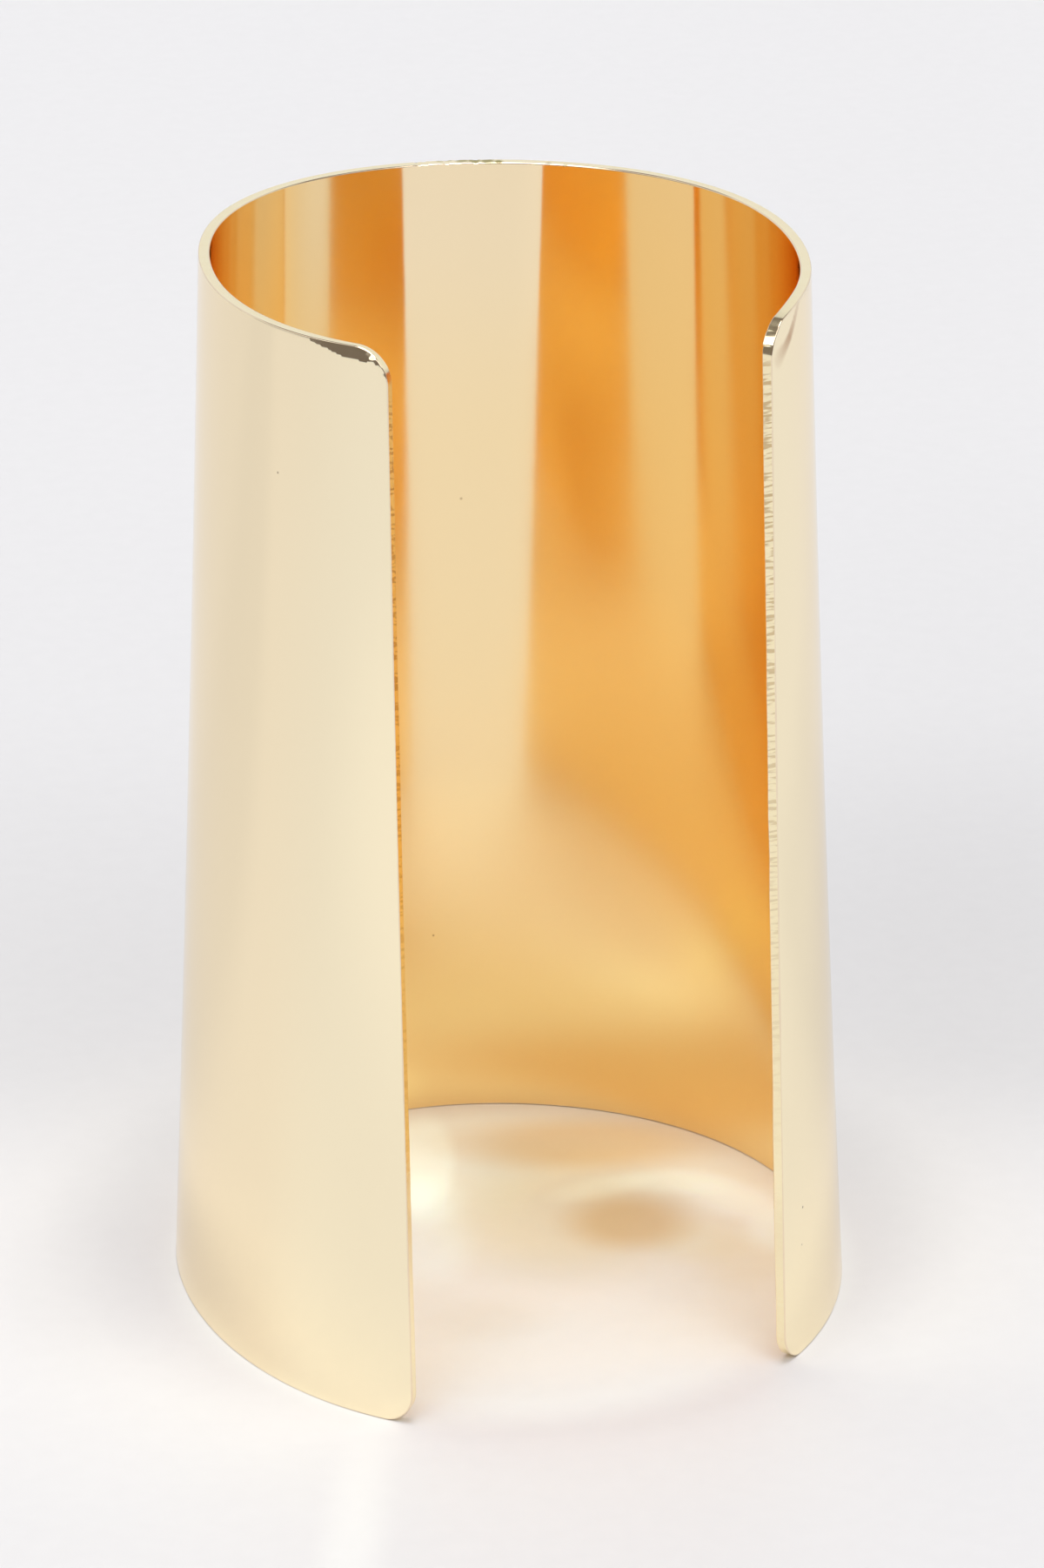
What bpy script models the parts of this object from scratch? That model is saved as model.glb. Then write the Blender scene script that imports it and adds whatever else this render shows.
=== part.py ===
"""Open cuff bracelet: one sheet of metal with rounded corners, rolled into a tapered oval.

The cuff stands on its wider forearm end, with its gap towards -Y and its wrist end up.
Lengths are in metres, angles in degrees, and shares are of the mean radius.
"""

from functools import cache
from math import asin, cos, radians, sin, tau

import bmesh
import bpy
from mathutils import Vector

MM = 0.001

# Driving dimensions of the sheet
HEIGHT = 105.5 * MM
WALL = 1.1 * MM
WRIST_CORNER_RADIUS = 3.4 * MM
ARM_CORNER_RADIUS = 3.0 * MM
LIP_RADIUS = 0.25 * MM

# Driving dimensions of the rolled form, outside the metal
WRIST_MEAN_RADIUS = 30.0 * MM
ARM_MEAN_RADIUS = 35.25 * MM
WRIST_GAP = 36.6 * MM
ARM_GAP = 37.9 * MM
WAIST = 0.2 * MM  # how far the wall at mid-height lies inside a straight taper
RIM_FALL = 0.95 * MM  # how much lower the wrist rim is on its right than on its left

# The section at each end: each term swells it at some number of places around the axis.
# Columns: swellings around the section, share at the wrist, share at the arm,
# direction of the first swelling at the wrist, the same at the arm
SECTION_TERMS = (
    (2, 0.029, 0.058, -5.7, -3.4),  # oval, longer from the gap to the back
    (3, 0.002, 0.012, 3.0, -12.3),  # pear
    (4, 0.013, 0.002, -56.4, -62.0),  # square
)

# Fineness of the mesh
COLUMNS = 96
ROWS = 8
CORNER_SEGMENTS = 6
LIP_SEGMENTS = 2

SMOOTH_UNDER = 30  # edges sharper than this angle stay sharp in the shading

TANGENT_STEP = 0.1  # angle each way over which the wall's direction is read
GAP_EDGE_STEPS = 8  # the gap's edge settles to well under a micrometre in this many steps
CUT_TOLERANCE = 0.001 * MM

GOLD = {"Base Color": (0.91, 0.72, 0.42, 1.0), "Metallic": 1.0, "Roughness": 0.06}


def clear_scene():
    for item in list(bpy.data.objects):
        bpy.data.objects.remove(item, do_unlink=True)


def new_collection(name):
    collection = bpy.data.collections.new(name)
    bpy.context.scene.collection.children.link(collection)
    return collection


def new_material(name, sockets):
    material = bpy.data.materials.new(name)
    material.use_nodes = True
    shader = material.node_tree.nodes["Principled BSDF"]
    for socket, value in sockets.items():
        shader.inputs[socket].default_value = value
    return material


def between(at_arm, at_wrist, height_share):
    return at_arm + (at_wrist - at_arm) * height_share


def section_radius(angle, height_share):
    """Outer radius at an angle from -Y towards +X, and at a share of the height."""
    mean = between(ARM_MEAN_RADIUS, WRIST_MEAN_RADIUS, height_share)
    mean -= WAIST * 4 * height_share * (1 - height_share)
    swelling = 1.0
    for count, wrist_share, arm_share, wrist_turn, arm_turn in SECTION_TERMS:
        share = between(arm_share, wrist_share, height_share)
        turn = radians(between(arm_turn, wrist_turn, height_share))
        swelling += share * cos(count * (angle - turn))
    return mean * swelling


def outer_point(angle, height_share):
    radius = section_radius(angle, height_share)
    return Vector((radius * sin(angle), -radius * cos(angle)))


def inward_direction(angle, height_share):
    """Horizontal direction square to the outer wall, into the hollow."""
    step = radians(TANGENT_STEP)
    along = outer_point(angle + step, height_share) - outer_point(angle - step, height_share)
    return Vector((-along.y, along.x)).normalized()


@cache
def gap_edge_angle(side, height_share):
    """Angle of the gap's edge on one side, -1 for -X or 1 for +X."""
    half_gap = between(ARM_GAP, WRIST_GAP, height_share) / 2
    angle = 0.0
    for _ in range(GAP_EDGE_STEPS):
        angle = side * asin(half_gap / section_radius(angle, height_share))
    return angle


def sheet_angle(share, height_share):
    """Angle of a place on the sheet: share runs from -1 at the +X edge to 1 at the -X edge."""
    first = gap_edge_angle(1, height_share)
    last = tau + gap_edge_angle(-1, height_share)
    return first + (last - first) * (share + 1) / 2


@cache
def half_length(height_share):
    """Half of the flat sheet's length at a height, measured round the mean radius."""
    mean = between(ARM_MEAN_RADIUS, WRIST_MEAN_RADIUS, height_share)
    return mean * (sheet_angle(1, height_share) - sheet_angle(-1, height_share)) / 2


def corner_edges(bm, height):
    """The two edges that run through the sheet's thickness at one height."""
    return [
        edge
        for edge in bm.edges
        if abs(edge.verts[0].co.x - edge.verts[1].co.x) < WALL / 2
        and all(abs(vertex.co.z - height) < WALL / 2 for vertex in edge.verts)
    ]


def flat_sheet():
    """The blank before rolling: a plate wider at its foot, its outer face at y = 0."""
    bm = bmesh.new()
    bmesh.ops.create_cube(bm, size=1.0)
    for vertex in bm.verts:
        height_share = vertex.co.z + 0.5
        vertex.co = Vector((
            2 * vertex.co.x * half_length(height_share),
            (vertex.co.y + 0.5) * WALL,
            height_share * HEIGHT,
        ))
    for height, radius in ((HEIGHT, WRIST_CORNER_RADIUS), (0.0, ARM_CORNER_RADIUS)):
        bmesh.ops.bevel(
            bm,
            geom=corner_edges(bm, height),
            offset=radius,
            segments=CORNER_SEGMENTS,
            profile=0.5,
            affect="EDGES",
        )
    round_lips(bm)
    cut_into_strips(bm)
    return bm


def round_lips(bm):
    """Rounds the edges between the two broad faces and the rim that joins them."""
    broad = {face for face in bm.faces if abs(face.normal.y) > 0.5}
    lips = [edge for edge in bm.edges if len(broad.intersection(edge.link_faces)) == 1]
    bmesh.ops.bevel(
        bm,
        geom=lips,
        offset=LIP_RADIUS,
        segments=LIP_SEGMENTS,
        profile=0.5,
        affect="EDGES",
    )


def cut_into_strips(bm):
    """Cuts the plate into columns that fan out towards its foot, and into rows."""
    foot, head = half_length(0), half_length(1)
    for column in range(1, COLUMNS):
        share = 2 * column / COLUMNS - 1
        across = Vector((HEIGHT, 0, (foot - head) * share)).normalized()
        cut(bm, Vector((foot * share, 0, 0)), across)
    for row in range(1, ROWS):
        cut(bm, Vector((0, 0, HEIGHT * row / ROWS)), Vector((0, 0, 1)))


def cut(bm, place, across):
    everything = [*bm.verts, *bm.edges, *bm.faces]
    bmesh.ops.bisect_plane(
        bm, geom=everything, dist=CUT_TOLERANCE, plane_co=place, plane_no=across
    )


def rolled(point):
    """Where a point of the flat sheet lies once the sheet is rolled up."""
    height_share = point.z / HEIGHT
    foot, head = half_length(0), half_length(1)
    angle = sheet_angle(point.x / between(foot, head, height_share), height_share)
    place = outer_point(angle, height_share)
    place += inward_direction(angle, height_share) * point.y
    fall = RIM_FALL * height_share * place.x / (2 * WRIST_MEAN_RADIUS)
    return Vector((place.x, place.y, point.z - fall))


def centre_on_base(bm):
    """Moves the form so that its box stands centred on the origin."""
    for axis in (0, 1):
        places = [vertex.co[axis] for vertex in bm.verts]
        middle = (min(places) + max(places)) / 2
        for vertex in bm.verts:
            vertex.co[axis] -= middle


def make_cuff(collection):
    bm = flat_sheet()
    for vertex in bm.verts:
        vertex.co = rolled(vertex.co)
    centre_on_base(bm)
    bmesh.ops.recalc_face_normals(bm, faces=bm.faces)
    mesh = bpy.data.meshes.new("cuff")
    bm.to_mesh(mesh)
    bm.free()
    mesh.shade_smooth()
    mesh.set_sharp_from_angle(angle=radians(SMOOTH_UNDER))
    mesh.materials.append(new_material("pale_gold", GOLD))
    collection.objects.link(bpy.data.objects.new("cuff", mesh))


clear_scene()
make_cuff(new_collection("cuff_bracelet"))
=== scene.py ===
"""The look of an open cuff bracelet: mirror-polished pale gold sheet, standing on a pale floor."""

from math import cos, pi, radians, sin, tau

import bpy
import numpy as np
from mathutils import Matrix, Vector


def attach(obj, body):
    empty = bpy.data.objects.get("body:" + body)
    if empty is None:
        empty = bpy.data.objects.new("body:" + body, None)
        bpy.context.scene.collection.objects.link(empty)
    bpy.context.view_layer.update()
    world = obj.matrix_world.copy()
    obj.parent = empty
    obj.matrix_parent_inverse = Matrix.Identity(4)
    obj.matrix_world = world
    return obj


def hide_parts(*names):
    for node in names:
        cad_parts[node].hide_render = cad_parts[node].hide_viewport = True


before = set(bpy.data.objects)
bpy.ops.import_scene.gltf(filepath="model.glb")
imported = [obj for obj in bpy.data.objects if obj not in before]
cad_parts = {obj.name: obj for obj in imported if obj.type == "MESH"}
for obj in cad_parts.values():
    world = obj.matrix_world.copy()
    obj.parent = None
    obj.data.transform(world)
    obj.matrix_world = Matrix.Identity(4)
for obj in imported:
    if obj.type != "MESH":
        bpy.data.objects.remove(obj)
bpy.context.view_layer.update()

MM = 0.001

# The sheet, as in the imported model
HEIGHT = 105.5 * MM
WALL = 1.1 * MM
WRIST_CORNER_RADIUS = 3.4 * MM
ARM_CORNER_RADIUS = 3.0 * MM
WRIST_MEAN_RADIUS = 30.0 * MM
ARM_MEAN_RADIUS = 35.25 * MM
WRIST_GAP = 36.6 * MM
ARM_GAP = 37.9 * MM
WAIST = 0.2 * MM
RIM_FALL = 0.95 * MM

# Swellings of the section: count, share at the wrist, share at the arm, and the turn of each
SECTION_TERMS = (
    (2, 0.029, 0.058, -5.7, -3.4),
    (3, 0.002, 0.012, 3.0, -12.3),
    (4, 0.013, 0.002, -56.4, -62.0),
)

# Lips, worn round by polishing, how their size wanders (share, then reach in points and seed), and how
# far in the broad faces stop short of them
OUTER_LIP = 0.10 * MM
INNER_LIP = 0.13 * MM
LIP_WANDER = 0.45
OUTER_WANDER = (40, 21)
INNER_WANDER = (30, 22)
LIP_STEPS = 3
OUTER_MARGIN = 0.34 * MM
INNER_MARGIN = 0.42 * MM

# Two facets filed off the outer face at the left wrist corner: how far along the outline from the foot
# of the corner's arc, and how wide the long and the short facet are there (mm)
FACETS = (
    (0.9, 0.0, 0.0),
    (1.4, 0.0, 0.3),
    (1.9, 0.0, 0.05),
    (2.2, 0.0, 0.2),
    (2.6, 0.0, 0.42),
    (3.0, 0.3, 0.5),
    (3.2, 0.65, 0.5),
    (3.5, 0.9, 0.48),
    (4.0, 1.08, 0.38),
    (4.5, 1.17, 0.26),
    (5.0, 1.22, 0.12),
    (6.0, 1.22, 0.0),
    (7.0, 1.0, 0.0),
    (8.0, 0.74, 0.0),
    (10.0, 0.34, 0.0),
    (12.0, 0.2, 0.0),
    (16.0, 0.14, 0.0),
    (22.0, 0.0, 0.0),
)
LONG_FACET_SLOPE = 0.24
SHORT_FACET_SLOPE = 0.235

# The right wrist corner, less round: how far round it (mm), and which way the rim faces there, in
# degrees from the gap to straight up
CORNER = (
    (0.0, 0.0),
    (0.2, 14.0),
    (1.0, 24.0),
    (1.1, 30.0),
    (2.3, 41.0),
    (2.35, 48.0),
    (2.5, 48.0),
    (2.55, 41.0),
    (2.85, 42.0),
    (2.95, 50.0),
    (3.8, 66.0),
    (3.9, 79.0),
    (11.0, 90.0),
)
CORNER_CROWDING = 1.7

# A small burr on that corner's inner side: how far round the corner, and how far into the gap (mm)
BURR = ((0.9, 0.0), (1.0, 0.22), (1.9, 0.22), (3.4, 0.0))

# Saw marks across the gap edges, and nicks in the wrist rim at the back
SAW_PITCH = 0.13 * MM
SAW_DEPTH = 0.03 * MM
SAW_SLANT = 0.45
SAW_SEEDS = (11, 12)
CHATTER = 0.6
CUTS_ABOVE = 0.7
LEFT_SHARE = 0.5
SAW_ROUGHNESS = ((0.02, 0.0), (0.06, 0.25), (0.45, 0.4), (0.7, 1.0), (0.93, 1.0), (0.955, 0.0))
NICKS = (-7.2 * MM, 0.4 * MM)
NICK_DEPTH = 0.12 * MM
NICK_SEED = 13

# The inside of the metal by share of the height: deeper gold and duller polish towards the foot
INSIDE_TINTS = (
    (0.0, (0.972, 0.745, 0.375)),
    (0.3, (0.982, 0.765, 0.42)),
    (0.7, (0.975, 0.775, 0.455)),
    (0.97, (0.948, 0.785, 0.52)),
)
INSIDE_ROUGHNESS = (
    (0.0, 0.24),
    (0.22, 0.23),
    (0.4, 0.15),
    (0.6, 0.11),
    (0.75, 0.08),
    (0.92, 0.045),
)

# On the right, high up, the inside is browner: how far aside, and from which share of the height
BROWN_SIDE = (18 * MM, 28 * MM)
BROWN_HEIGHTS = (0.45, 0.85)
BROWN_TINT = (0.87, 0.795, 0.65)

# Tints of the plate, the sawn edge and the worn lips; the front of the plate is painted paler, a painted
# brighter reflection
PLATE_TINTS = ((0.957, 0.82, 0.575), (0.937, 0.80, 0.555))
FRONT_REFLECTION = (17 * MM, 27 * MM)
FRONT_REFLECTION_TINT = (0.98, 0.868, 0.62)
PLATE_GLANCE = (0.985, 0.955, 0.91, 1)
INSIDE_GLANCE = (0.98, 0.94, 0.88, 1)
EDGE_TINTS = ((0.95, 0.82, 0.52), (1.0, 0.91, 0.64))
LIP_TINTS = ((0.86, 0.70, 0.50), (0.95, 0.82, 0.60))

# Tints of the marks on them, the first a painted dark reflection, and the heights between which the saw
# has bitten
DARK_REFLECTION_TINT = (0.58, 0.39, 0.24)
SPECK_TINT = (0.22, 0.16, 0.10)
INSIDE_SPECK_TINT = (0.35, 0.20, 0.10)
RIM_STAIN_TINT = (0.42, 0.37, 0.14)
LIP_STAIN_TINT = (0.30, 0.26, 0.10)
BITE_TINT = (0.66, 0.50, 0.28)
BITES_FROM = (20 * MM, 85 * MM)
BITES_TO = (101.5 * MM, 100.5 * MM)

# Height of the finest relief
HAIR_RELIEF = 6e-6
EDGE_RELIEF = 8e-6
LIP_RELIEF = 5e-6

# Specks, stains and a painted dark reflection below the right wrist corner, as place and radius (mm) and
# strength
OUTSIDE_SPECKS = (
    (-26.68, -18.29, 91.94, 0.16, 0.8),
    (21.54, -29.47, 14.96, 0.20, 0.9),
    (21.33, -29.96, 11.18, 0.14, 0.8),
)
DARK_REFLECTION_PATH = (
    (22.30, -22.60, 104.90, 0.6, 0.35),
    (21.35, -24.00, 103.30, 0.7, 0.75),
    (20.75, -24.80, 102.40, 0.8, 1.00),
    (20.00, -25.65, 101.70, 0.9, 0.65),
    (19.10, -26.60, 101.10, 1.3, 0.25),
)
DARK_REFLECTION_SPOTS = 17
RIM_STAINS = (
    (2.00, 27.18, 105.47, 0.45, 0.5),
    (3.00, 27.15, 105.45, 0.35, 0.6),
    (4.25, 27.00, 105.43, 1.0, 0.8),
    (5.40, 26.65, 105.41, 1.0, 0.9),
    (6.60, 26.25, 105.39, 1.0, 0.9),
    (7.60, 25.70, 105.37, 0.6, 1.0),
    (12.20, 23.90, 105.30, 0.4, 0.5),
    (13.60, 22.90, 105.28, 0.4, 0.5),
)
INSIDE_SPECKS = (
    (1.77, 31.32, 20.38, 0.18, 0.7),
    (4.17, 27.97, 69.60, 0.22, 0.5),
)

# Material numbers of the cuff's faces
OUTSIDE, INSIDE, EDGE, LIP = range(4)

# Fineness of the mesh
EDGE_ZONE = 14 * MM
EDGE_COLUMNS = 60
MIDDLE_COLUMNS = 84
CORNER_ROWS = 12
TOP_ROWS = 22
MIDDLE_ROWS = 46
FINE_STEPS_ON_EDGE = 16
FINE_STEPS_ON_CORNER = 2
FINE_STEPS_ON_RIM = 4

# The photograph's camera: direction from the gap's middle, height, distance and framing
PHOTO_HEIGHT = 1802
CAMERA_AZIMUTH = -16.6
CAMERA_ELEVATION = 22.8
CAMERA_DISTANCE = 649.8 * MM
CAMERA_RIGHT = 1.43 * MM
CAMERA_AIM_HEIGHT = 51.45 * MM
CAMERA_ROLL = -0.23
FOCAL_PIXELS = 7672
SENSOR = 36.0

# The floor, a disc that curves up at its far edge, with painted shade that darkens it far off
FLOOR_RADIUS = 1.6
FLOOR_RINGS = (0.0, 0.1, 0.3, 1.0)
FLOOR_SIDES = 96
COVE_RADIUS = 0.5
COVE_TURN = 66
COVE_STEPS = 12
FAR_START = 0.45
FAR_END = 1.4
FAR_SHADE_DEPTH = 0.16
FLOOR_WHITE = 0.78
FLOOR_TINT = (0.0, 0.002, 0.022)
FLOOR_MOTTLE = 0.03

# Painted shade on the floor, a soft darker band behind the cuff, seen from the camera's side: how strong
# it is by the share of the way behind, and by the share of the way aside
BEHIND = (-sin(radians(CAMERA_AZIMUTH)), cos(radians(CAMERA_AZIMUTH)), 0)
ASIDE = (cos(radians(CAMERA_AZIMUTH)), sin(radians(CAMERA_AZIMUTH)), 0)
BAND_START = -0.1
BAND_END = 0.5
SHADE_BAND = ((0.0, 0.0), (0.18, 0.0), (0.25, 0.9), (0.33, 1.0), (0.42, 0.55), (0.60, 0.25), (1.0, 0.15))
SHADE_BAND_DEPTH = 0.10
BAND_SIDE = 0.3
SHADE_BAND_WIDTHS = (
    (0.0, 0.62),
    (0.30, 0.60),
    (0.40, 0.60),
    (0.50, 0.72),
    (0.60, 1.0),
    (0.70, 0.65),
    (0.80, 0.1),
)

# Pools of light and shade that the curved metal throws on the floor, seen from the photograph's side:
# how far aside and behind the middle (mm), half width and half depth (mm), turn (degrees), where the
# soft edge begins as a share of the size, and the tint that multiplies the card there
FLOOR_POOLS = (
    (0.0, 5.0, 50.0, 50.0, 0, 0.72, (0.885, 0.89, 0.905)),
    (0.5, -4.0, 46.0, 48.0, 0, 0.75, (0.98, 0.975, 0.985)),
    (0.6, -3.0, 36.0, 38.0, 0, 0.8, (1.175, 1.235, 1.23)),
    (8.0, 23.0, 18.5, 8.5, 0, 0.3, (0.955, 0.78, 0.57)),
    (5.5, 6.5, 16.0, 21.0, 0, 0.3, (0.97, 0.92, 0.76)),
    (-8.8, 19.0, 4.5, 14.0, 0, 0.6, (1.07, 1.13, 1.15)),
    (-8.5, 10.0, 6.0, 8.0, 0, 0.2, (1.08, 1.16, 1.20)),
    (-7.5, 0.0, 6.0, 13.0, 0, 0.3, (1.04, 1.10, 1.13)),
    (9.8, 12.6, 7.5, 3.6, 26, 0.2, (1.10, 1.15, 1.16)),
    (17.8, 14.0, 8.0, 4.2, -4, 0.2, (1.09, 1.17, 1.20)),
    (23.5, 9.8, 8.0, 5.0, -45, 0.2, (1.08, 1.15, 1.22)),
    (28.0, 2.5, 5.0, 6.5, 0, 0.3, (1.05, 1.12, 1.18)),
    (12.6, 4.8, 8.8, 8.6, 0, 0.3, (0.90, 0.76, 0.58)),
    (19.5, 0.5, 7.0, 7.0, 0, 0.2, (1.0, 0.985, 0.90)),
    (24.5, -4.0, 7.0, 9.0, -20, 0.2, (0.985, 0.965, 0.91)),
    (-1.5, -16.5, 9.0, 6.5, 18, 0.2, (0.96, 0.945, 0.92)),
    (5.0, -5.5, 9.0, 6.5, 0, 0.2, (0.96, 0.97, 0.985)),
    (-14.0, -62.0, 4.5, 32.0, -3, 0.1, (1.08, 1.09, 1.07)),
    (-130.0, -180.0, 130.0, 130.0, 0, 0.2, (1.09, 1.09, 1.08)),
    (-40.0, -6.0, 16.0, 26.0, 0, 0.2, (0.93, 0.93, 0.94)),
    (-18.5, 21.0, 7.0, 11.0, 0, 0.2, (1.09, 1.22, 1.14)),
)

# The light: a bank of soft light high round the front, a pale backdrop, and dark between them. Sides
# run from 0 opposite a light's middle to 1 at its middle, and heights are sines of the elevation
TENT_LEVEL = 0.95
BANK_AZIMUTH = -28
BANK_STRENGTH = 1.15
BANK_SIDES = ((0.44, 0.0), (0.52, 1.0))
BANK_HEIGHTS = ((0.50, 0.0), (0.57, 1.0), (0.80, 1.0), (0.86, 0.0))
BACKDROP_STRENGTH = 0.74
BACKDROP_SIDES = ((0.36, 0.0), (0.62, 1.0))
BACKDROP_HEIGHTS = ((0.60, 1.0), (0.68, 0.0))
FILL_STRENGTH = 0.165
DARK_TINT = (1.14, 0.96, 0.87)

# Brighter lamps in the bank and overhead: azimuth, elevation and radius (degrees), and strength
LAMPS = ((-47, 46, 12, 2.0), (15, 50, 12, 2.0), (0, 90, 16, 6.5))
LAMP_EDGE = 3


def between(at_arm, at_wrist, share):
    return at_arm + (at_wrist - at_arm) * share


def section_radius(angle, share):
    """The outer radius of the section, at an angle from the middle of the gap."""
    mean = between(ARM_MEAN_RADIUS, WRIST_MEAN_RADIUS, share) - WAIST * 4 * share * (1 - share)
    swelling = 1.0
    for count, wrist_share, arm_share, wrist_turn, arm_turn in SECTION_TERMS:
        turn = np.radians(between(arm_turn, wrist_turn, share))
        swelling = swelling + between(arm_share, wrist_share, share) * np.cos(count * (angle - turn))
    return mean * swelling


def gap_edge_angle(side, share):
    """Where the gap ends on one side, as an angle from its middle."""
    half_gap = between(ARM_GAP, WRIST_GAP, share) / 2
    angle = 0.0 * share
    for _ in range(8):
        angle = side * np.arcsin(half_gap / section_radius(angle, share))
    return angle


def sheet_ends(share):
    """The angles at which the sheet starts and ends, going round the back."""
    return gap_edge_angle(1, share), tau + gap_edge_angle(-1, share)


def half_length(share):
    """Half the length of the flat sheet at a share of its height."""
    first, last = sheet_ends(share)
    return between(ARM_MEAN_RADIUS, WRIST_MEAN_RADIUS, share) * (last - first) / 2


def rolled(x, z, depth):
    """Points of the flat sheet, and their depth under its outer face, as places on the rolled cuff."""
    share = z / HEIGHT
    first, last = sheet_ends(share)
    angle = first + (last - first) * (x / half_length(share) + 1) / 2
    step = 1e-4
    ahead = section_radius(angle + step, share)
    behind = section_radius(angle - step, share)
    along_x = ahead * np.sin(angle + step) - behind * np.sin(angle - step)
    along_y = -ahead * np.cos(angle + step) + behind * np.cos(angle - step)
    size = np.hypot(along_x, along_y)
    radius = section_radius(angle, share)
    px = radius * np.sin(angle) - along_y / size * depth
    py = -radius * np.cos(angle) + along_x / size * depth
    pz = z - RIM_FALL * share * px / (2 * WRIST_MEAN_RADIUS)
    return np.stack([px, py, pz], -1)


def facet_depth(x, z):
    """How much is filed off the outer face at a point of the flat sheet: the left wrist corner only."""
    from_edge = half_length(z / HEIGHT) - x
    below_rim = HEIGHT - z
    radius = WRIST_CORNER_RADIUS
    in_x, in_z = radius - from_edge, radius - below_rim
    on_corner = (in_x > 0) & (in_z > 0)
    turn = np.arctan2(np.maximum(in_z, 0), np.maximum(in_x, 1e-9))
    place = np.where(on_corner, turn * radius, radius * pi / 2 + from_edge - radius)
    place = np.where((in_x > 0) & (in_z <= 0), in_z, place)
    inset = np.where(on_corner, radius - np.hypot(in_x, in_z), np.minimum(from_edge, below_rim))
    places, long_widths, short_widths = zip(*FACETS)
    long_width = np.interp(place / MM, places, long_widths, left=0.0) * MM
    short_width = np.interp(place / MM, places, short_widths, left=0.0) * MM
    long_depth = LONG_FACET_SLOPE * np.maximum(long_width - inset, 0)
    return long_depth + SHORT_FACET_SLOPE * np.maximum(short_width - inset, 0)


def face_point(x, z, outer):
    return rolled(x, z, facet_depth(x, z) if outer else WALL)


def face_normals(x, z, outer):
    step = 2e-6
    across = face_point(x + step, z, outer) - face_point(x - step, z, outer)
    up = face_point(x, z + step, outer) - face_point(x, z - step, outer)
    normal = np.cross(across, up)
    normal /= np.linalg.norm(normal, axis=-1, keepdims=True)
    return normal if outer else -normal


def row_places():
    """Places of the rows up the sheet: 0 to 1 round the arm's corner, 1 to 2 up the side, 2 to 3 round
    the wrist's corner, where extra rows keep an even height for the facets."""
    arm = np.arange(CORNER_ROWS) / CORNER_ROWS
    side = 1 + np.arange(MIDDLE_ROWS) / MIDDLE_ROWS
    wrist = 3 - np.arange(CORNER_ROWS + 1) / CORNER_ROWS
    heights = np.arange(1, TOP_ROWS + 1) / (TOP_ROWS + 2)
    even = 3 - np.arccos(1 - heights) / (pi / 2)
    top = np.sort(np.concatenate([wrist, even]))
    keep = np.concatenate([[True], np.diff(top) > 0.012])
    return np.concatenate([arm, side, top[keep]])


def round_corner(radius, share, inset):
    """How far a share of the way round an even corner lies below the rim, and in from the edge."""
    turn = share * pi / 2
    return radius - (radius - inset) * np.sin(turn), radius - (radius - inset) * np.cos(turn)


def worn_corner(share, inset):
    """The same for the right wrist corner."""
    run = np.linspace(0, CORNER[-1][0], 400)
    facing = np.radians(np.interp(run, *zip(*CORNER)))
    step = run[1] * MM
    below = np.cumsum(np.cos(facing)[::-1])[::-1] * step
    draw = np.cumsum(np.sin(facing)) * step
    here = np.clip(share, 0, 1) ** CORNER_CROWDING * run[-1]
    turn = np.interp(here, run, facing)
    below = np.interp(here, run, below - below[-1]) + inset * np.sin(turn)
    return below, np.interp(here, run, draw - draw[0]) + inset * np.cos(turn)


def outline(place, inset, column):
    """Height, and how far the sheet's ends draw in, at places up its side, with the outline moved in."""
    last = 2 * EDGE_COLUMNS + MIDDLE_COLUMNS
    leftness = np.clip((column - EDGE_COLUMNS) / MIDDLE_COLUMNS, 0, 1)
    left_below, left_draw = round_corner(WRIST_CORNER_RADIUS, np.clip(place - 2, 0, 1), inset)
    right_below, right_draw = worn_corner(place - 2, inset)
    top_start = between(worn_corner(0.0, 0.0)[0], WRIST_CORNER_RADIUS, leftness)
    below = between(right_below, left_below, leftness)
    draw = np.where(column < last / 2, right_draw, left_draw)
    rise, foot_draw = round_corner(ARM_CORNER_RADIUS, 1 - np.clip(place, 0, 1), inset)
    up_side = ARM_CORNER_RADIUS + (HEIGHT - top_start - ARM_CORNER_RADIUS) * (place - 1)
    z = np.where(place < 1, rise, np.where(place > 2, HEIGHT - below, up_side))
    shift = np.where(place < 1, foot_draw, np.where(place > 2, draw, inset))
    return z, shift


def column_x(column, z, shift):
    """x at a column number, whole or not, along a row whose ends are drawn in by shift."""
    half = half_length(z / HEIGHT)
    last = 2 * EDGE_COLUMNS + MIDDLE_COLUMNS
    from_end = np.minimum(column, last - column)
    in_zone = from_end < EDGE_COLUMNS
    near = half - shift - from_end / EDGE_COLUMNS * (EDGE_ZONE - shift)
    middle = (half - EDGE_ZONE) * np.abs(1 - 2 * (column - EDGE_COLUMNS) / MIDDLE_COLUMNS)
    return np.where(column < last / 2, -1, 1) * np.where(in_zone, near, middle)


class Sheet:
    """Collects the vertices and faces of the cuff."""

    def __init__(self):
        self.points, self.normals, self.faces, self.finish = [], [], [], []

    def add(self, points, normals=None):
        start = len(self.points)
        self.points.extend(points)
        self.normals.extend(np.zeros((len(points), 3)) if normals is None else normals)
        return list(range(start, start + len(points)))

    def face(self, corners, finish):
        self.faces.append(corners)
        self.finish.append(finish)


def broad_face(sheet, outer):
    """One of the two broad faces as a grid; returns the vertex numbers, row by row."""
    margin = OUTER_MARGIN if outer else INNER_MARGIN
    columns = np.arange(2 * EDGE_COLUMNS + MIDDLE_COLUMNS + 1)
    grid = []
    for place in row_places():
        z, shift = outline(place, margin, columns)
        x = column_x(columns, z, shift)
        grid.append(sheet.add(face_point(x, z, outer), face_normals(x, z, outer)))
    for low, high in zip(grid, grid[1:]):
        for k in range(len(low) - 1):
            corners = [low[k], low[k + 1], high[k + 1], high[k]]
            sheet.face(corners if outer else corners[::-1], OUTSIDE if outer else INSIDE)
    return grid


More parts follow.
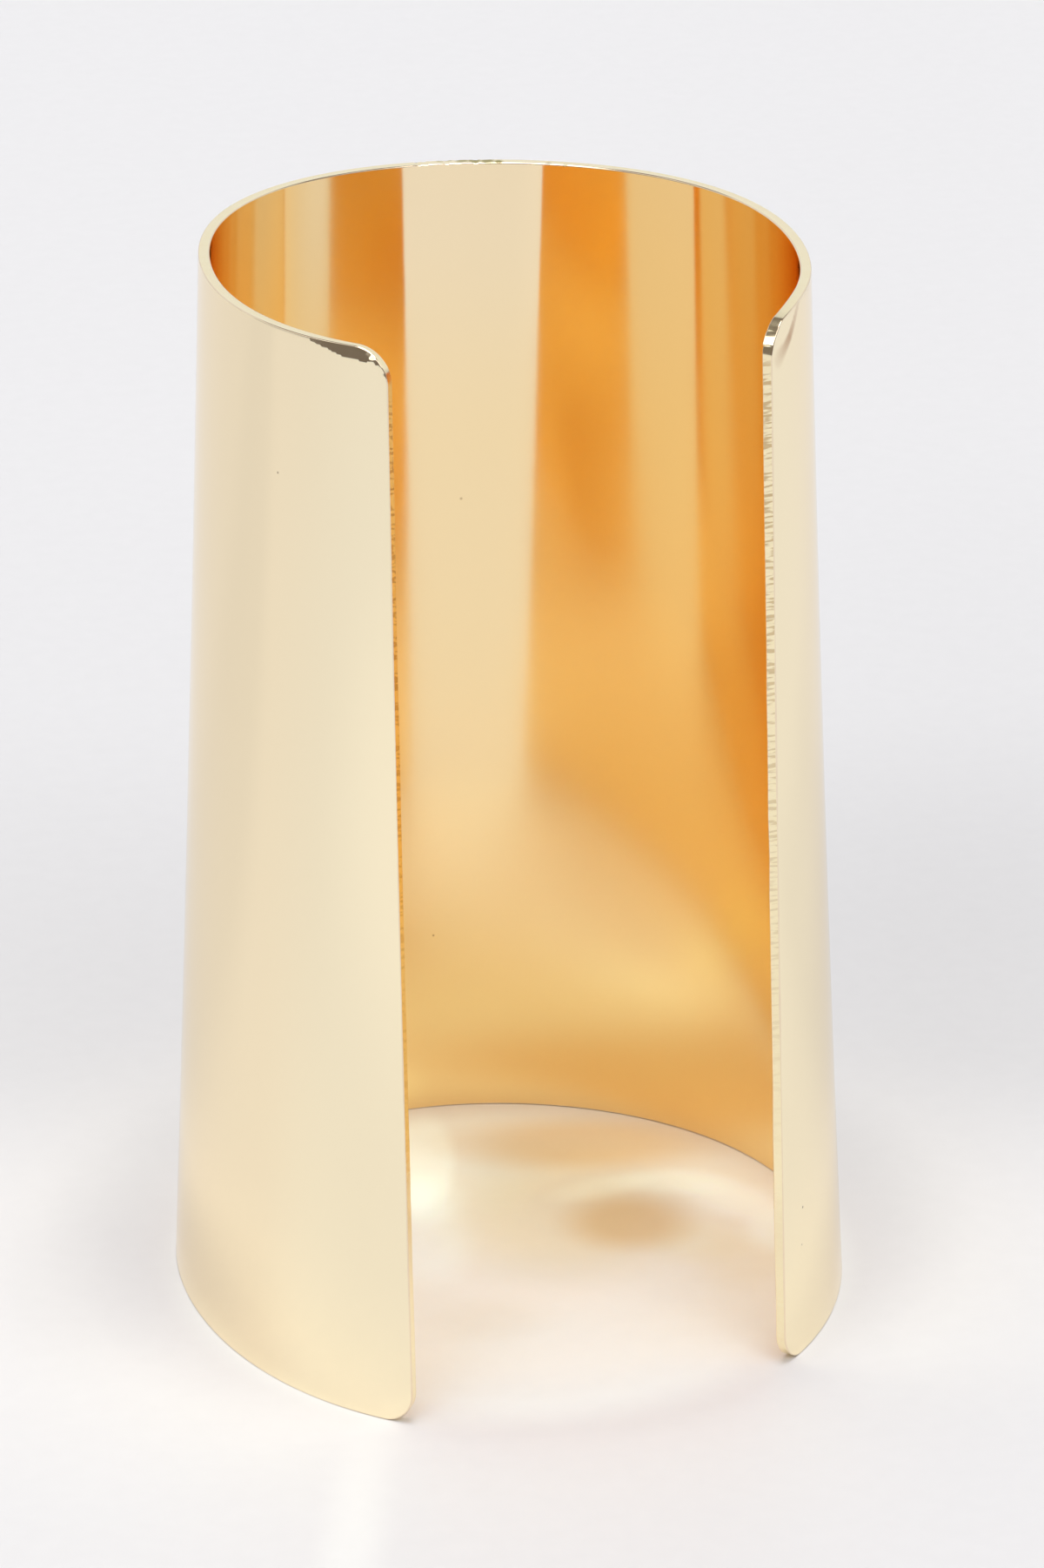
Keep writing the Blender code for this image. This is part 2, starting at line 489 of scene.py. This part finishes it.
def border(grid):
    """The numbers round a grid's border: along the foot, up the far side, back, and down."""
    up = [row[-1] for row in grid[1:-1]]
    down = [row[0] for row in grid[-2:0:-1]]
    return grid[0] + up + grid[-1][::-1] + down


def fine_track():
    """Column and place of the fine points round the outline, and which of them are the coarse points."""
    places = row_places()
    last = 2 * EDGE_COLUMNS + MIDDLE_COLUMNS
    coarse = [(k, 0.0) for k in range(last + 1)]
    coarse += [(last, p) for p in places[1:-1]]
    coarse += [(k, 3.0) for k in range(last, -1, -1)]
    coarse += [(0, p) for p in places[-2:0:-1]]
    columns, track, starts = [], [], []
    for (column, place), (next_column, next_place) in zip(coarse, coarse[1:] + coarse[:1]):
        starts.append(len(track))
        if place == next_place:
            in_middle = EDGE_COLUMNS <= (column + next_column) / 2 <= last - EDGE_COLUMNS
            steps = FINE_STEPS_ON_RIM if in_middle else 1
        else:
            on_side = 1 <= (place + next_place) / 2 <= 2
            steps = FINE_STEPS_ON_EDGE if on_side else FINE_STEPS_ON_CORNER
        for share in np.arange(steps) / steps:
            columns.append(column + (next_column - column) * share)
            track.append(place + (next_place - place) * share)
    return np.array(columns), np.array(track), starts


def wander(length, reach, seed):
    """A smooth seeded wander between -1 and 1 along a closed run of points."""
    rng = np.random.default_rng(seed)
    knots = rng.uniform(-1, 1, max(4, length // reach))
    here = np.arange(length) * len(knots) / length
    return np.interp(here, np.arange(len(knots) + 1), [*knots, knots[0]])


def saw_marks(z, seed):
    """Depth of the marks left across a sawn edge at height z: fine chatter and a few deeper cuts."""
    rng = np.random.default_rng(seed)
    count = int(HEIGHT / SAW_PITCH) + 40
    chatter = rng.uniform(0, 1, count) ** 2 * CHATTER
    cuts = (rng.uniform(0, 1, count) > CUTS_ABOVE) * rng.uniform(0.3, 1, count)
    return np.interp(z / SAW_PITCH, np.arange(count), chatter + cuts) * SAW_DEPTH


def roughness_up_edge(z):
    """How rough the gap edges are: most under the wrist corner, little near the foot."""
    return np.interp(z / HEIGHT, *zip(*SAW_ROUGHNESS))


def lip_loop(columns, track, inset, depth):
    """Points round the outline at an inset and a depth, with the saw marks and nicks cut in."""
    z, shift = outline(track, inset, columns)
    x = column_x(columns, z, shift)
    round_right = np.where(x < 0, np.clip(track - 2, 0, 1), 0) ** CORNER_CROWDING * CORNER[-1][0]
    x = x - np.interp(round_right, *zip(*BURR)) * MM * depth / WALL
    on_side = (track > 0.9) & (track < 2.1)
    slanted = z + SAW_SLANT * depth
    left_marks, right_marks = (saw_marks(slanted, seed) for seed in SAW_SEEDS)
    mark = np.where(x > 0, left_marks * LEFT_SHARE, right_marks)
    x = np.where(on_side, x - np.sign(x) * mark * roughness_up_edge(z), x)
    rng = np.random.default_rng(NICK_SEED)
    nick = rng.uniform(0, 1, len(x)) ** 3 * NICK_DEPTH
    at_nicks = (track > 2.99) & (x > NICKS[0]) & (x < NICKS[1])
    z = np.where(at_nicks, z - nick, z)
    filed = facet_depth(x, z)
    return rolled(x, z, filed + depth * (WALL - filed) / WALL)


def square_normals(points, across):
    """Normals of the flat rim between the lips, from its run round the outline and the way across it."""
    run = np.roll(points, -1, 0) - np.roll(points, 1, 0)
    normal = np.cross(across, run)
    return normal / np.linalg.norm(normal, axis=-1, keepdims=True)


def lip_loops(sheet, columns, track):
    """The loops from the outer face's edge round the rim to the inner face's edge."""
    outer_lip = OUTER_LIP * (1 + LIP_WANDER * wander(len(track), *OUTER_WANDER))
    inner_lip = INNER_LIP * (1 + LIP_WANDER * wander(len(track), *INNER_WANDER))
    z, shift = outline(track, outer_lip, columns)
    x = column_x(columns, z, shift)
    loops = [sheet.add(face_point(x, z, True), face_normals(x, z, True))]
    for k in range(1, LIP_STEPS):
        turn = k / LIP_STEPS * pi / 2
        loop = lip_loop(columns, track, outer_lip * (1 - sin(turn)), outer_lip * (1 - cos(turn)))
        loops.append(sheet.add(loop))
    none = 0 * outer_lip
    depths = (outer_lip, none + WALL / 2, WALL - inner_lip)
    flat = [lip_loop(columns, track, none, depth) for depth in depths]
    for points in flat:
        loops.append(sheet.add(points, square_normals(points, flat[2] - flat[0])))
    for k in range(1, LIP_STEPS):
        turn = k / LIP_STEPS * pi / 2
        depth = WALL - inner_lip * (1 - sin(turn))
        loop = lip_loop(columns, track, inner_lip * (1 - cos(turn)), depth)
        loops.append(sheet.add(loop))
    z, shift = outline(track, inner_lip, columns)
    x = column_x(columns, z, shift)
    loops.append(sheet.add(face_point(x, z, False), face_normals(x, z, False)))
    return loops


def make_sheet():
    sheet = Sheet()
    outer = border(broad_face(sheet, True))
    inner = border(broad_face(sheet, False))
    columns, track, starts = fine_track()
    loops = lip_loops(sheet, columns, track)
    count = len(track)
    for row, (before, after) in enumerate(zip(loops, loops[1:])):
        finish = EDGE if LIP_STEPS <= row <= LIP_STEPS + 1 else LIP
        for k in range(count):
            n = (k + 1) % count
            sheet.face([before[k], after[k], after[n], before[n]], finish)
    for k, start in enumerate(starts):
        n = (k + 1) % len(starts)
        end = starts[n] if n else count
        run = [m % count for m in range(start, end + 1)]
        sheet.face([outer[k]] + [loops[0][m] for m in run] + [outer[n]], OUTSIDE)
        sheet.face([inner[k], inner[n]] + [loops[-1][m] for m in run[::-1]], INSIDE)
    return sheet


def mesh_object(name, points, faces):
    mesh = bpy.data.meshes.new(name)
    mesh.from_pydata([tuple(p) for p in points], [], faces)
    mesh.update()
    piece = bpy.data.objects.new(name, mesh)
    bpy.context.scene.collection.objects.link(piece)
    return piece


def make_cuff():
    """The cuff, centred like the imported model; returns where the middle of its section came to lie."""
    sheet = make_sheet()
    points = np.array(sheet.points)
    middle = (points.max(0) + points.min(0)) / 2
    middle[2] = 0
    points -= middle
    piece = mesh_object("cuff_sheet", points, sheet.faces)
    mesh = piece.data
    mesh.shade_smooth()
    for material in (outside_gold(), inside_gold(), edge_gold(), lip_gold()):
        mesh.materials.append(material)
    mesh.polygons.foreach_set("material_index", sheet.finish)
    mesh.normals_split_custom_set_from_vertices([tuple(n) for n in sheet.normals])
    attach(piece, "root")
    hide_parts("cuff")
    return -middle


def node(tree, kind, **settings):
    made = tree.nodes.new(kind)
    for name, value in settings.items():
        setattr(made, name, value)
    return made


def ramp(tree, source, stops):
    """A smooth ramp read at source; a stop is a place with a grey or a colour."""
    made = node(tree, "ShaderNodeValToRGB")
    made.color_ramp.interpolation = "EASE"
    elements = made.color_ramp.elements
    while len(elements) < len(stops):
        elements.new(0.5)
    for element, (place, value) in zip(elements, stops):
        element.position = place
        element.color = (*value, 1) if isinstance(value, tuple) else (value, value, value, 1)
    tree.links.new(source, made.inputs["Fac"])
    return made.outputs["Color"]


def arithmetic(tree, operation, *values):
    """One Math node; a value is a number or a socket."""
    made = node(tree, "ShaderNodeMath", operation=operation)
    for socket, value in zip(made.inputs, values):
        if isinstance(value, (int, float)):
            socket.default_value = value
        else:
            tree.links.new(value, socket)
    return made.outputs[0]


def along(tree, vector, direction):
    """How far a vector socket reaches along a direction."""
    made = node(tree, "ShaderNodeVectorMath", operation="DOT_PRODUCT")
    tree.links.new(vector, made.inputs[0])
    made.inputs[1].default_value = direction
    return made.outputs["Value"]


def noise(tree, place, stretch, detail=2.0):
    """Noise over object space, stretched by a scale along each axis."""
    mapping = node(tree, "ShaderNodeMapping")
    mapping.inputs["Scale"].default_value = stretch
    tree.links.new(place, mapping.inputs["Vector"])
    made = node(tree, "ShaderNodeTexNoise")
    made.inputs["Scale"].default_value = 1.0
    made.inputs["Detail"].default_value = detail
    tree.links.new(mapping.outputs["Vector"], made.inputs["Vector"])
    return made.outputs["Fac"]


def span(tree, value, low, high, interpolation="LINEAR"):
    """A value between low and high as 0 to 1, held at both ends."""
    made = node(tree, "ShaderNodeMapRange", clamp=True, interpolation_type=interpolation)
    made.inputs["From Min"].default_value = low
    made.inputs["From Max"].default_value = high
    tree.links.new(value, made.inputs["Value"])
    return made.outputs["Result"]


def mix_colour(tree, share, first, second, blend="MIX"):
    """A colour between two; each is a triple or a socket."""
    made = node(tree, "ShaderNodeMix", data_type="RGBA", blend_type=blend)
    tree.links.new(share, made.inputs["Factor"])
    for name, value in (("A", first), ("B", second)):
        socket = [s for s in made.inputs if s.name == name and s.type == "RGBA"][0]
        if isinstance(value, tuple):
            socket.default_value = (*value, 1)
        else:
            tree.links.new(value, socket)
    return [s for s in made.outputs if s.type == "RGBA"][0]


def metal(name):
    """A new metal material: its tree, its shader and its object coordinates."""
    material = bpy.data.materials.new(name)
    material.use_nodes = True
    tree = material.node_tree
    shader = tree.nodes["Principled BSDF"]
    shader.inputs["Metallic"].default_value = 1.0
    place = node(tree, "ShaderNodeTexCoord").outputs["Object"]
    return material, tree, shader, place


def bump(tree, shader, height, distance):
    """Fine relief on a shader, from a height socket."""
    made = node(tree, "ShaderNodeBump")
    made.inputs["Strength"].default_value = 1.0
    made.inputs["Distance"].default_value = distance
    tree.links.new(height, made.inputs["Height"])
    tree.links.new(made.outputs["Normal"], shader.inputs["Normal"])


def outside_gold():
    material, tree, shader, place = metal("gold_outside")
    cloud = noise(tree, place, (30, 30, 18))
    tint = mix_colour(tree, cloud, *PLATE_TINTS)
    # Painted reflection: the plate is painted paler towards the front
    to_front = span(tree, along(tree, place, (0, -1, 0)), *FRONT_REFLECTION, "SMOOTHSTEP")
    tint = mix_colour(tree, to_front, tint, FRONT_REFLECTION_TINT)
    # Painted reflection: a warm brown streak down the outer face below the right wrist corner
    path = np.array(DARK_REFLECTION_PATH)
    order = range(len(path))
    steps = np.linspace(0, len(path) - 1, DARK_REFLECTION_SPOTS)
    stain_and_reflection = [[float(np.interp(step, order, column)) for column in path.T] for step in steps]
    tint = mix_colour(tree, spots(tree, place, stain_and_reflection), tint, DARK_REFLECTION_TINT)
    tint = mix_colour(tree, spots(tree, place, OUTSIDE_SPECKS), tint, SPECK_TINT)
    tree.links.new(tint, shader.inputs["Base Color"])
    shader.inputs["Specular Tint"].default_value = PLATE_GLANCE
    smudge = span(tree, noise(tree, place, (55, 55, 40), 4.0), 0.45, 0.75)
    roughness = arithmetic(tree, "MULTIPLY_ADD", smudge, 0.06, 0.09)
    tree.links.new(roughness, shader.inputs["Roughness"])
    hairs = noise(tree, place, (900, 900, 25), 1.0)
    ripple = noise(tree, place, (90, 90, 12), 1.0)
    bump(tree, shader, arithmetic(tree, "MULTIPLY_ADD", hairs, 0.12, ripple), HAIR_RELIEF)
    return material


def inside_gold():
    material, tree, shader, place = metal("gold_inside")
    height = along(tree, place, (0, 0, 1))
    share = span(tree, height, 0.0, HEIGHT)
    tint = ramp(tree, share, INSIDE_TINTS)
    to_right = span(tree, along(tree, place, ASIDE), *BROWN_SIDE, "SMOOTHSTEP")
    high_up = span(tree, share, *BROWN_HEIGHTS, "SMOOTHSTEP")
    tint = mix_colour(tree, arithmetic(tree, "MULTIPLY", to_right, high_up), tint, BROWN_TINT)
    tint = mix_colour(tree, spots(tree, place, INSIDE_SPECKS), tint, INSIDE_SPECK_TINT)
    tree.links.new(tint, shader.inputs["Base Color"])
    shader.inputs["Specular Tint"].default_value = INSIDE_GLANCE
    polish = ramp(tree, share, INSIDE_ROUGHNESS)
    smudge = span(tree, noise(tree, place, (70, 70, 25), 3.0), 0.4, 0.8)
    roughness = arithmetic(tree, "MULTIPLY_ADD", smudge, 0.04, polish)
    tree.links.new(roughness, shader.inputs["Roughness"])
    hairs = noise(tree, place, (1100, 1100, 22), 1.0)
    ripple = noise(tree, place, (160, 160, 9), 1.0)
    bump(tree, shader, arithmetic(tree, "MULTIPLY_ADD", hairs, 0.15, ripple), HAIR_RELIEF)
    return material


def edge_gold():
    """The sawn rim: pale and satin, with dark lines across it where the saw has bitten."""
    material, tree, shader, place = metal("gold_edge")
    grain = noise(tree, place, (500, 500, 2500), 3.0)
    tint = mix_colour(tree, grain, *EDGE_TINTS)
    slanted = node(tree, "ShaderNodeCombineXYZ")
    for socket, way in zip(slanted.inputs, ((1, 0, 0), (0, 1, 0), (0, SAW_SLANT, 1))):
        tree.links.new(along(tree, place, way), socket)
    bites = span(tree, noise(tree, slanted.outputs[0], (500, 500, 2900), 1.5), 0.50, 0.40)
    rough = span(tree, along(tree, place, (0, 0, 1)), *BITES_FROM)
    below = span(tree, along(tree, place, (0, 0, 1)), *BITES_TO)
    soiled = arithmetic(tree, "MULTIPLY", bites, arithmetic(tree, "MULTIPLY", rough, below))
    tint = mix_colour(tree, soiled, tint, BITE_TINT)
    stain_and_reflection = spots(tree, place, RIM_STAINS)
    tint = mix_colour(tree, stain_and_reflection, tint, RIM_STAIN_TINT)
    tree.links.new(tint, shader.inputs["Base Color"])
    satin = arithmetic(tree, "MULTIPLY_ADD", grain, 0.16, 0.08)
    roughness = arithmetic(tree, "MULTIPLY_ADD", stain_and_reflection, 0.35, satin)
    tree.links.new(roughness, shader.inputs["Roughness"])
    bump(tree, shader, grain, EDGE_RELIEF)
    return material


def lip_gold():
    """The worn lips, where the plate is thinnest and the metal shows warmer."""
    material, tree, shader, place = metal("gold_lip")
    wear = noise(tree, place, (400, 400, 700), 2.0)
    tint = mix_colour(tree, wear, *LIP_TINTS)
    stain_and_reflection = spots(tree, place, RIM_STAINS)
    tint = mix_colour(tree, stain_and_reflection, tint, LIP_STAIN_TINT)
    tree.links.new(tint, shader.inputs["Base Color"])
    satin = arithmetic(tree, "MULTIPLY_ADD", wear, 0.15, 0.06)
    roughness = arithmetic(tree, "MULTIPLY_ADD", stain_and_reflection, 0.4, satin)
    tree.links.new(roughness, shader.inputs["Roughness"])
    bump(tree, shader, wear, LIP_RELIEF)
    return material


def spots(tree, place, table):
    """How far a point lies inside the soft spots of a table: x, y, z and radius (mm), and strength."""
    total = 0.0
    for x, y, z, radius, strength in table:
        far = node(tree, "ShaderNodeVectorMath", operation="DISTANCE")
        tree.links.new(place, far.inputs[0])
        far.inputs[1].default_value = (x * MM, y * MM, z * MM)
        share = span(tree, far.outputs["Value"], radius * MM, radius * MM * 0.3, "SMOOTHSTEP")
        total = arithmetic(tree, "MAXIMUM", arithmetic(tree, "MULTIPLY", share, strength), total)
    return total


def make_floor():
    turns = [radians(COVE_TURN) * k / COVE_STEPS for k in range(COVE_STEPS + 1)]
    profile = [(ring, 0.0) for ring in FLOOR_RINGS]
    profile += [(FLOOR_RADIUS + COVE_RADIUS * sin(t), COVE_RADIUS * (1 - cos(t))) for t in turns]
    points, faces = [], []
    for radius, height in profile:
        for k in range(FLOOR_SIDES):
            turn = tau * k / FLOOR_SIDES
            points.append((radius * cos(turn), radius * sin(turn), height))
    for row in range(len(profile) - 1):
        low, high = row * FLOOR_SIDES, (row + 1) * FLOOR_SIDES
        for k in range(FLOOR_SIDES):
            n = (k + 1) % FLOOR_SIDES
            faces.append([low + k, low + n, high + n, high + k])
    floor = mesh_object("floor", points, faces)
    floor.data.shade_smooth()
    floor.data.materials.append(floor_card())


def floor_card():
    """Pale card, with painted shade far off and in a soft band behind the cuff, and the pools of light
    and shade painted on it.
    """
    material = bpy.data.materials.new("floor_card")
    material.use_nodes = True
    tree = material.node_tree
    shader = tree.nodes["Principled BSDF"]
    shader.inputs["Roughness"].default_value = 0.5
    place = node(tree, "ShaderNodeTexCoord").outputs["Object"]
    # Painted shade: a soft darker band behind the cuff
    far = span(tree, along(tree, place, BEHIND), BAND_START, BAND_END)
    shade = ramp(tree, far, SHADE_BAND)
    breadth = ramp(tree, span(tree, along(tree, place, ASIDE), -BAND_SIDE, BAND_SIDE), SHADE_BAND_WIDTHS)
    depth = arithmetic(tree, "MULTIPLY", arithmetic(tree, "MULTIPLY", shade, breadth), SHADE_BAND_DEPTH)
    # Painted shade: the card darkens far off
    reach = node(tree, "ShaderNodeVectorMath", operation="LENGTH")
    tree.links.new(place, reach.inputs[0])
    distant = span(tree, reach.outputs["Value"], FAR_START, FAR_END, "SMOOTHSTEP")
    depth = arithmetic(tree, "MULTIPLY_ADD", distant, FAR_SHADE_DEPTH, depth)
    level = arithmetic(tree, "SUBTRACT", FLOOR_WHITE, depth)
    mottle = noise(tree, place, (400, 400, 400), 3.0)
    mottle = arithmetic(tree, "SUBTRACT", mottle, 0.5)
    level = arithmetic(tree, "MULTIPLY_ADD", mottle, FLOOR_MOTTLE, level)
    colour = node(tree, "ShaderNodeCombineColor")
    for channel, extra in enumerate(FLOOR_TINT):
        tree.links.new(arithmetic(tree, "ADD", level, extra), colour.inputs[channel])
    tinted = colour.outputs[0]
    for aside, behind, *shape, tint in FLOOR_POOLS:
        middle = (Vector(ASIDE) * aside + Vector(BEHIND) * behind) * MM
        tinted = pool(tree, place, middle, shape, tint, tinted)
    tree.links.new(tinted, shader.inputs["Base Color"])
    return material


def pool(tree, place, middle, shape, tint, colour):
    """Multiplies a colour by a tint in a soft oval on the floor."""
    half_width, half_depth, turn, full = shape
    oval = node(tree, "ShaderNodeMapping", vector_type="TEXTURE")
    oval.inputs["Location"].default_value = middle
    oval.inputs["Rotation"].default_value = (0, 0, radians(CAMERA_AZIMUTH + turn))
    oval.inputs["Scale"].default_value = (half_width * MM, half_depth * MM, 1)
    tree.links.new(place, oval.inputs["Vector"])
    reach = node(tree, "ShaderNodeVectorMath", operation="LENGTH")
    tree.links.new(oval.outputs["Vector"], reach.inputs[0])
    share = span(tree, reach.outputs["Value"], 1.0, full, "SMOOTHSTEP")
    return mix_colour(tree, share, colour, tint, "MULTIPLY")


def direction(azimuth, elevation):
    a, e = radians(azimuth), radians(elevation)
    return Vector((sin(a) * cos(e), -cos(a) * cos(e), sin(e)))


def make_camera(axis):
    camera = bpy.data.objects.new("camera", bpy.data.cameras.new("camera"))
    bpy.context.scene.collection.objects.link(camera)
    back = direction(CAMERA_AZIMUTH, CAMERA_ELEVATION)
    right = Vector(ASIDE)
    aim = Vector((axis[0], axis[1], CAMERA_AIM_HEIGHT)) + right * CAMERA_RIGHT
    up = back.cross(right)
    turn = Matrix((right, up, back)).transposed().to_4x4()
    roll = Matrix.Rotation(radians(CAMERA_ROLL), 4, "Z")
    camera.matrix_world = Matrix.Translation(aim + back * CAMERA_DISTANCE) @ turn @ roll
    camera.data.sensor_width = SENSOR
    camera.data.lens = FOCAL_PIXELS * SENSOR / PHOTO_HEIGHT
    camera.data.clip_start = 0.01
    bpy.context.scene.camera = camera


def make_world():
    """The light by its direction: the bank, the backdrop, the lamps and a weak fill."""
    world = bpy.data.worlds.new("studio")
    bpy.context.scene.world = world
    world.use_nodes = True
    tree = world.node_tree
    way = node(tree, "ShaderNodeTexCoord").outputs["Generated"]
    height = along(tree, way, (0, 0, 1))

    def sideways(towards):
        return arithmetic(tree, "MULTIPLY_ADD", along(tree, way, towards), 0.5, 0.5)

    bank_way = tuple(direction(BANK_AZIMUTH, 0))
    bank = arithmetic(tree, "MULTIPLY", ramp(tree, sideways(bank_way), BANK_SIDES),
                      ramp(tree, height, BANK_HEIGHTS))
    drop = arithmetic(tree, "MULTIPLY", ramp(tree, sideways(BEHIND), BACKDROP_SIDES),
                      ramp(tree, height, BACKDROP_HEIGHTS))
    level = arithmetic(tree, "MULTIPLY_ADD", bank, BANK_STRENGTH, FILL_STRENGTH)
    level = arithmetic(tree, "MULTIPLY_ADD", drop, BACKDROP_STRENGTH, level)
    for azimuth, elevation, radius, strength in LAMPS:
        near = along(tree, way, tuple(direction(azimuth, elevation)))
        lamp = span(tree, near, cos(radians(radius + LAMP_EDGE)), cos(radians(radius - LAMP_EDGE)))
        level = arithmetic(tree, "MULTIPLY_ADD", lamp, strength, level)
    level = arithmetic(tree, "MULTIPLY", level, TENT_LEVEL)
    tree.links.new(level, tree.nodes["Background"].inputs["Strength"])
    colour = mix_colour(tree, span(tree, level, 0.2, 0.5), DARK_TINT, (1.0, 1.0, 1.0))
    tree.links.new(colour, tree.nodes["Background"].inputs["Color"])


def set_render():
    scene = bpy.context.scene
    scene.view_settings.view_transform = "Standard"
    scene.cycles.max_bounces = 20
    scene.cycles.glossy_bounces = 20
    scene.cycles.diffuse_bounces = 5
    scene.cycles.caustics_reflective = True
    scene.cycles.blur_glossy = 0.0
    scene.cycles.use_denoising = True


axis = make_cuff()
make_floor()
make_camera(axis)
make_world()
set_render()
